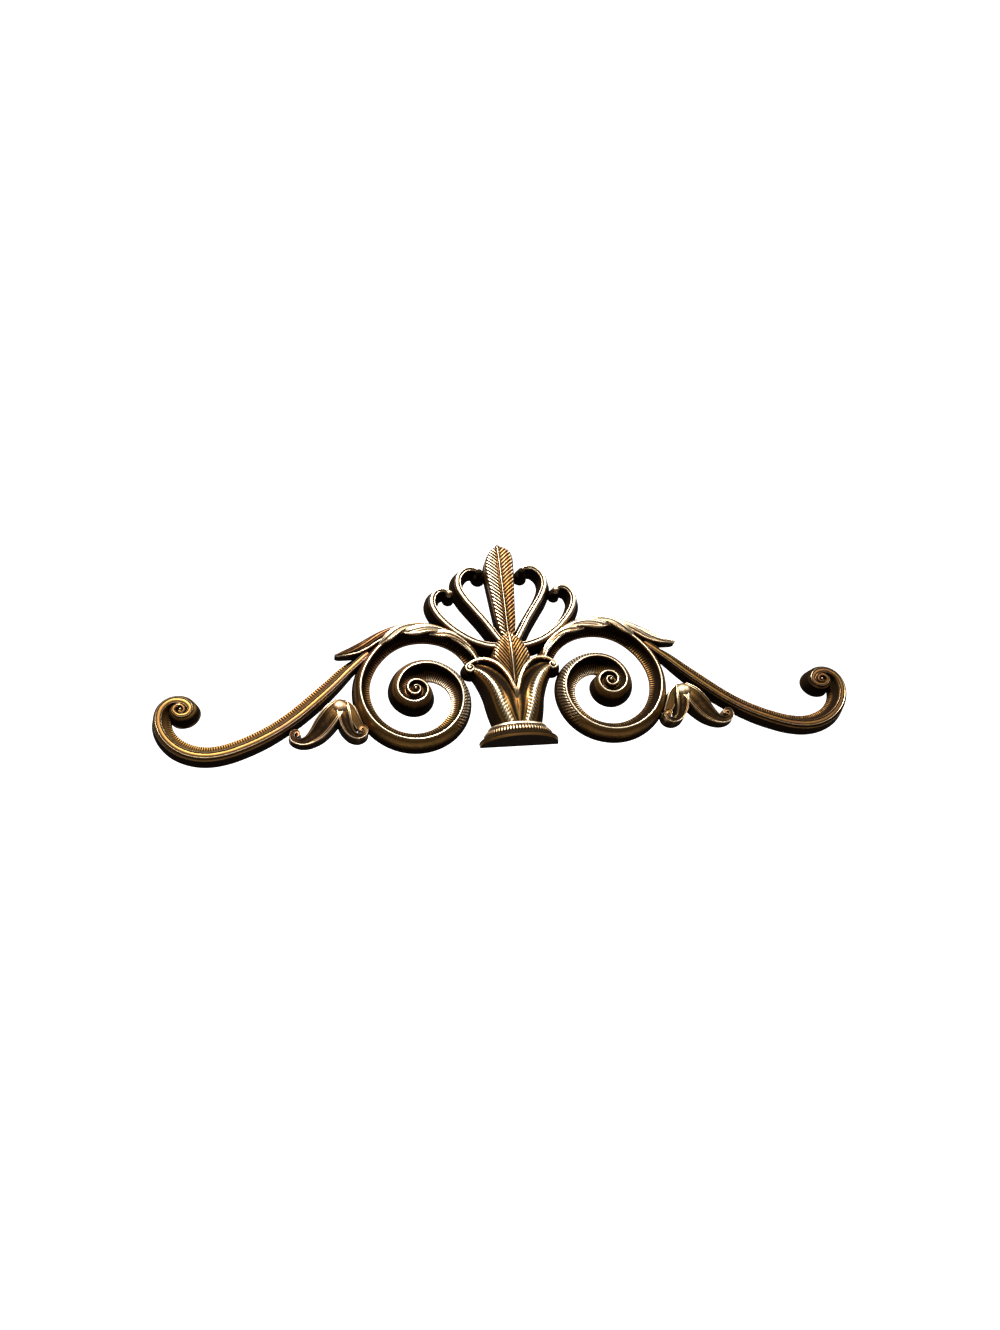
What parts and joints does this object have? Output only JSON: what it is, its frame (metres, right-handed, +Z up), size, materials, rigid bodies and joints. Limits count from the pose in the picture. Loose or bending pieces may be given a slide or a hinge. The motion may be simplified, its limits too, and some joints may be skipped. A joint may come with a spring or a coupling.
{
  "type": "scroll wall ornament",
  "caption": "Flat-backed bronze casting for a wall or panel: a footed tulip urn with a feather crest between two leaf scrolls with bellflower buds and long curled tails.",
  "frame": {"origin": "on the flat back behind the middle of the urn, 56 mm above the underside of the foot", "axes": "+X along the wall from the left scroll to the right one, +Y out of the flat back towards the wall, +Z up"},
  "size_m": [0.6106, 0.025, 0.1962],
  "materials": {
    "bronze": "antique bronze, dark brown in the hollows and rubbed gold on the raised edges"
  },
  "bodies": {
    "root": {"scroll_ornament": "bronze"}
  },
  "joints": []
}
